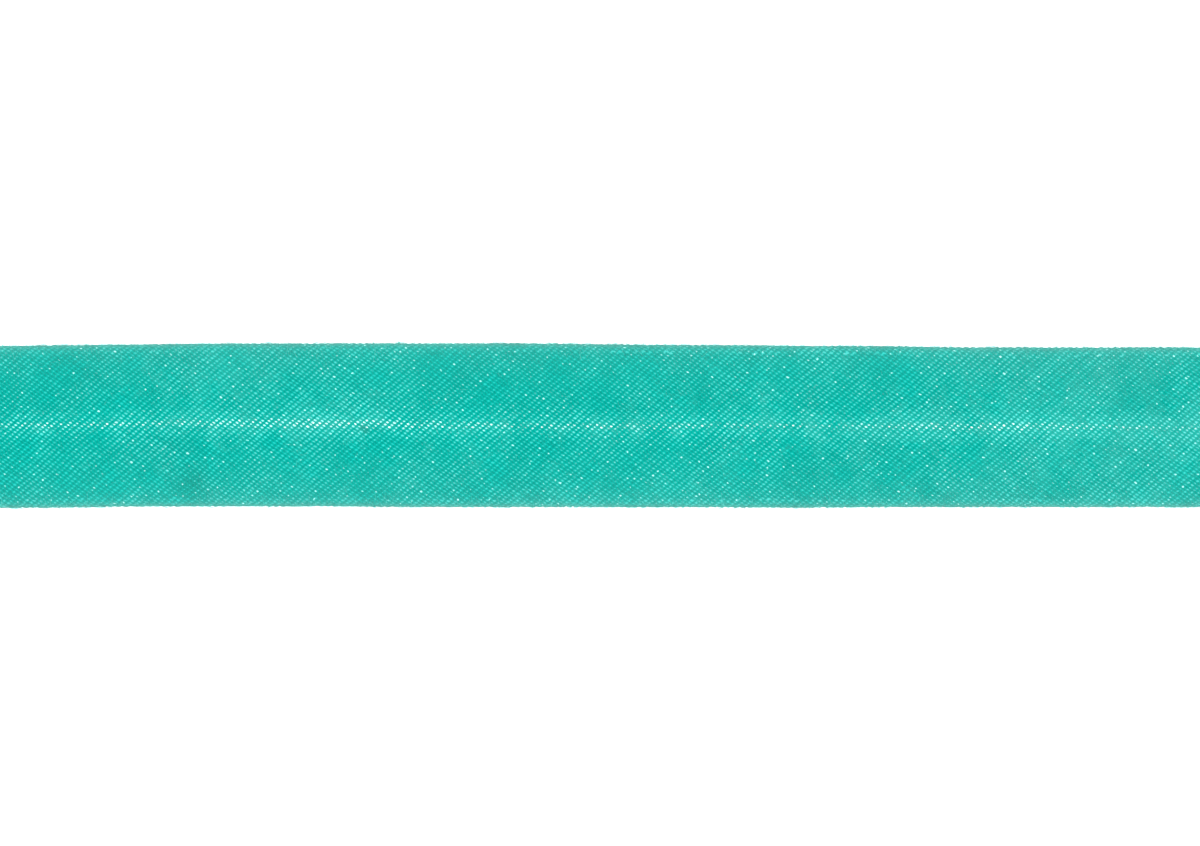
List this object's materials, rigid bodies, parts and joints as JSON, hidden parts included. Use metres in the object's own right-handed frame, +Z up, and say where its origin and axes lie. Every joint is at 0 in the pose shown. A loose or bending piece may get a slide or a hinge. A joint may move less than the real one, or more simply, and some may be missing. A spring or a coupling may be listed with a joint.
{
  "type": "length of folded bias binding",
  "caption": "Cut length of teal cotton bias binding with both long raw edges turned under, lying flat with its right side up.",
  "frame": {"origin": "on the surface that the binding lies on, under the middle of its length and width", "axes": "+X along the binding, +Y across it from fold to fold, +Z up through its right side"},
  "size_m": [0.16, 0.0204, 0.0023],
  "materials": {
    "teal_cotton": "dyed plain-weave cotton, matt with a faint sheen, open enough for light to show between the threads"
  },
  "bodies": {
    "root": {"binding": "teal_cotton"}
  },
  "joints": []
}
